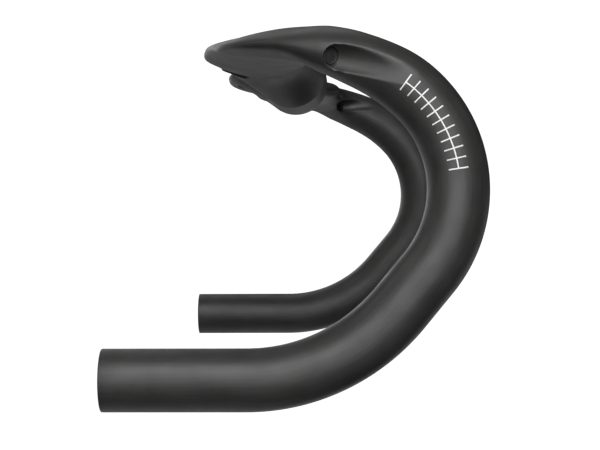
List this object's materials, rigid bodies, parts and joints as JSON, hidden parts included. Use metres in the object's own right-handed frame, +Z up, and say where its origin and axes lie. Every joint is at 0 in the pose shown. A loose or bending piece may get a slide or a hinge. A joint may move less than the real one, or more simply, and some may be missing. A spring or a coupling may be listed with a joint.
{
  "type": "drop handlebar",
  "caption": "Carbon drop handlebar with a round stem clamp, flattened aero tops, recessed cable ports and compact flared drops with a printed lever scale.",
  "frame": {"origin": "centre of the round stem clamp section, on its axis and on the mid plane", "axes": "+X forward along the bicycle, +Y to the rider's left, +Z up; the bar ends point rearward, along -X"},
  "size_m": [0.1455, 0.4438, 0.1543],
  "materials": {
    "carbon": "satin black lacquer over carbon fibre",
    "laminate": "bare carbon laminate, hidden inside the bar",
    "rubber": "matte black rubber",
    "print": "thin white print under clear lacquer"
  },
  "bodies": {
    "root": {"center_section": "carbon", "clamp_sleeve": "laminate", "right_drop": "carbon", "right_joint_sleeve": "laminate", "right_entry_plug": "rubber", "right_inner_grommet": "rubber", "right_exit_grommet": "rubber", "right_cable_guide": "laminate", "right_lever_scale": "print", "left_drop": "carbon", "left_joint_sleeve": "laminate", "left_entry_plug": "rubber", "left_inner_grommet": "rubber", "left_exit_grommet": "rubber", "left_cable_guide": "laminate", "left_lever_scale": "print"}
  },
  "joints": []
}
